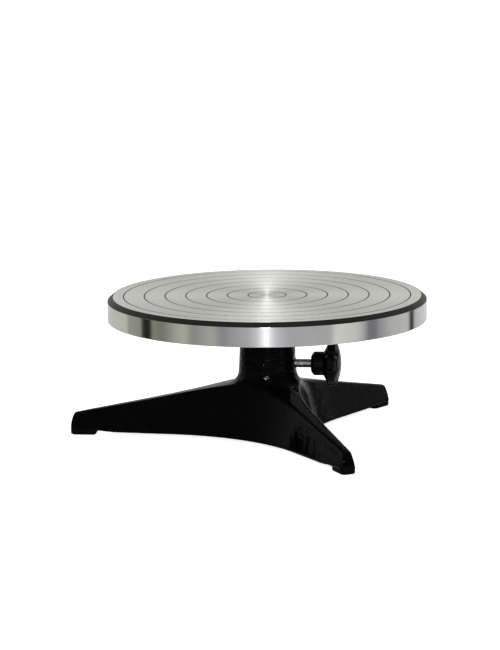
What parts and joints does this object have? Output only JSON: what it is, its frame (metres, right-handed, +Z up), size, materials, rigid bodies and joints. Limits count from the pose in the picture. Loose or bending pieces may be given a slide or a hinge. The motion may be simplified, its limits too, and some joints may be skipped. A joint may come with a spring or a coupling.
{
  "type": "cake turntable",
  "caption": "Cake decorating turntable: a ring-grooved aluminium plate on a ball-bearing spindle in a cast tripod base, with a lobed clamp screw as brake.",
  "frame": {"origin": "centre of the plate's top face, on the spindle's axis", "axes": "+Z up along the spindle, out of the top face; +X out along the clamp screw, opposite one of the legs; +Y completes the right-handed frame"},
  "size_m": [0.3387, 0.3328, 0.136],
  "materials": {
    "turned_aluminium": "satin turned top, polished turned rim",
    "black_edge": "fine turned, black, semi-gloss",
    "black_casting": "gloss black enamel with a slight orange peel",
    "rubber": "matt moulded",
    "steel": "ground",
    "zinc_plate": "bright zinc plate",
    "nylon": "natural nylon",
    "black_plastic": "gloss moulded"
  },
  "bodies": {
    "base": {"base_casting": "black_casting", "rubber_foot_1": "rubber", "rubber_foot_2": "rubber", "rubber_foot_3": "rubber", "upper_bearing_outer_race": "steel", "lower_bearing_outer_race": "steel", "hub_dust_seal": "rubber", "hub_end_cap": "black_plastic"},
    "head": {"head_plate": "turned_aluminium", "edge_ring": "black_edge", "spindle": "steel", "flange_screw_1": "zinc_plate", "flange_screw_2": "zinc_plate", "flange_screw_3": "zinc_plate", "flange_screw_4": "zinc_plate", "upper_bearing_inner_race": "steel", "lower_bearing_inner_race": "steel", "spacer_sleeve": "steel", "spindle_circlip": "steel"},
    "upper_balls": {"upper_bearing_cage": "nylon", "upper_bearing_ball_1": "steel", "upper_bearing_ball_2": "steel", "upper_bearing_ball_3": "steel", "upper_bearing_ball_4": "steel", "upper_bearing_ball_5": "steel", "upper_bearing_ball_6": "steel", "upper_bearing_ball_7": "steel", "upper_bearing_ball_8": "steel"},
    "lower_balls": {"lower_bearing_cage": "nylon", "lower_bearing_ball_1": "steel", "lower_bearing_ball_2": "steel", "lower_bearing_ball_3": "steel", "lower_bearing_ball_4": "steel", "lower_bearing_ball_5": "steel", "lower_bearing_ball_6": "steel", "lower_bearing_ball_7": "steel", "lower_bearing_ball_8": "steel"},
    "pad": {"brake_pad": "nylon"},
    "clamp_screw": {"clamp_stud": "zinc_plate", "clamp_knob": "black_plastic"}
  },
  "joints": [
    {"name": "head_spin", "type": "hinge", "parent": "base", "child": "head", "pos_m": [0, 0, 0], "axis": [0, 0, 1], "continuous": true},
    {"name": "upper_balls_roll", "type": "hinge", "parent": "base", "child": "upper_balls", "pos_m": [0, 0, -0.0393], "axis": [0, 0, 1], "continuous": true},
    {"name": "lower_balls_roll", "type": "hinge", "parent": "base", "child": "lower_balls", "pos_m": [0, 0, -0.1123], "axis": [0, 0, 1], "continuous": true},
    {"name": "brake_pad_travel", "type": "slide", "parent": "base", "child": "pad", "axis": [1, 0, 0], "range_m": [-0.00115, 0.005]},
    {"name": "clamp_screw_turn", "type": "hinge", "parent": "pad", "child": "clamp_screw", "pos_m": [0.04, 0, -0.0648], "axis": [1, 0, 0], "range_deg": [-331, 1440]}
  ],
  "couplings": [
    {"joint": "upper_balls_roll", "follows": "head_spin", "ratio": 0.38158},
    {"joint": "lower_balls_roll", "follows": "head_spin", "ratio": 0.38158},
    {"joint": "brake_pad_travel", "follows": "clamp_screw_turn", "m_per_rad": 0.00019894}
  ]
}
